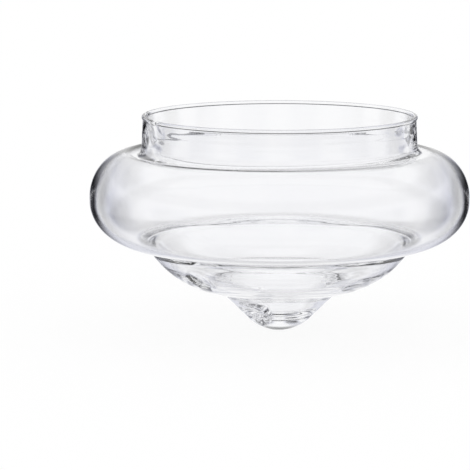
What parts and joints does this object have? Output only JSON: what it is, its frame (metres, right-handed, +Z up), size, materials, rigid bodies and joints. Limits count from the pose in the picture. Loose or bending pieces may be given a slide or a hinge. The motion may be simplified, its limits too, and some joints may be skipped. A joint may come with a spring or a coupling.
{
  "type": "floating candle bowl",
  "caption": "Clear blown-glass bowl that floats a tealight: open neck, wide hollow float ring, round candle well and a thick pointed tip that keeps it upright.",
  "frame": {"origin": "on the bowl's axis at the waterline of the bowl with a tealight in it, 25.3 mm above the tip", "axes": "+Z up along the bowl's axis, -Y towards the viewer of the picture, +X to the viewer's right"},
  "size_m": [0.0792, 0.0792, 0.0454],
  "materials": {
    "clear_glass": "fire-polished clear blown glass, faintly cool, with soft tool marks in the well"
  },
  "bodies": {
    "root": {"rim": "clear_glass", "neck": "clear_glass", "float_ring": "clear_glass", "candle_well": "clear_glass", "pointed_tip": "clear_glass", "seal_nub": "clear_glass"}
  },
  "joints": []
}
